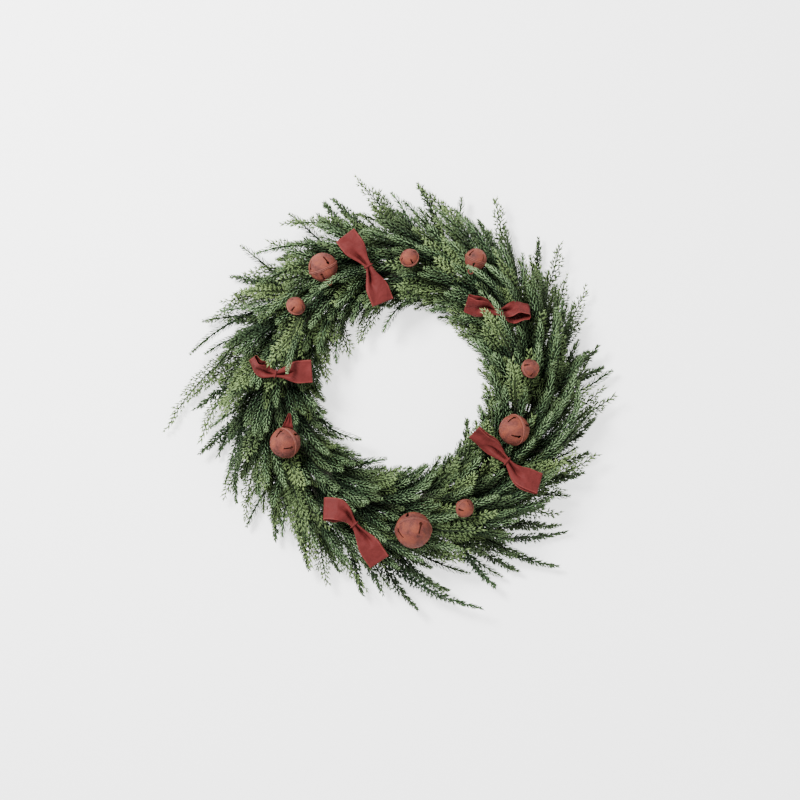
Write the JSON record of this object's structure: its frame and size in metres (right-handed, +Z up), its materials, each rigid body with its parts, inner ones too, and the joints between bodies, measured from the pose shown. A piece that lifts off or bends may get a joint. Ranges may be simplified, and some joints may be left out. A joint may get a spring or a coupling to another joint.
{
  "type": "fresh evergreen wreath",
  "caption": "Round evergreen wreath of needle tails and cedar fronds bound to a vine ring, with round jingle bells and ribbon bows, lying on its back.",
  "frame": {"origin": "middle of the wreath's outline on the surface it lies on", "axes": "+Z up out of the front face, +Y towards the top of the wreath as it hangs, +X to the right seen from the front"},
  "size_m": [0.618, 0.5928, 0.1031],
  "materials": {
    "vine": "rough bark",
    "tail": "fresh dark green needles",
    "frond": "fresh yellow-green scale leaves",
    "bell": "matte rust red paint",
    "pellet": "plain steel",
    "wire": "green florist wire",
    "ribbon": "satin weave"
  },
  "bodies": {
    "root": {"vine_ring": "vine", "bell_1": "bell", "bell_2": "bell", "bell_3": "bell", "bell_4": "bell", "bell_5": "bell", "bell_6": "bell", "bell_7": "bell", "bell_8": "bell", "bell_9": "bell", "bell_pellet_1": "pellet", "bell_pellet_2": "pellet", "bell_pellet_3": "pellet", "bell_pellet_4": "pellet", "bell_pellet_5": "pellet", "bell_pellet_6": "pellet", "bell_pellet_7": "pellet", "bell_pellet_8": "pellet", "bell_pellet_9": "pellet", "bell_wire_1": "wire", "bell_wire_2": "wire", "bell_wire_3": "wire", "bell_wire_4": "wire", "bell_wire_5": "wire", "bell_wire_6": "wire", "bell_wire_7": "wire", "bell_wire_8": "wire", "bell_wire_9": "wire", "bow_wire_1": "wire", "bow_wire_2": "wire", "bow_wire_3": "wire", "bow_wire_4": "wire", "bow_wire_5": "wire", "bow_1": "ribbon", "bow_2": "ribbon", "bow_3": "ribbon", "bow_4": "ribbon", "bow_5": "ribbon", "bell_strap": "ribbon", "tail_bough_1": "tail", "tail_bough_3": "tail", "tail_bough_5": "tail", "tail_bough_7": "tail", "tail_bough_9": "tail", "tail_bough_11": "tail", "tail_bough_13": "tail", "tail_bough_15": "tail", "tail_bough_17": "tail", "tail_bough_19": "tail", "frond_bough_2": "frond", "frond_bough_4": "frond", "frond_bough_6": "frond", "frond_bough_8": "frond", "frond_bough_10": "frond", "frond_bough_12": "frond", "frond_bough_14": "frond", "frond_bough_16": "frond", "frond_bough_18": "frond", "frond_bough_20": "frond"}
  },
  "joints": []
}
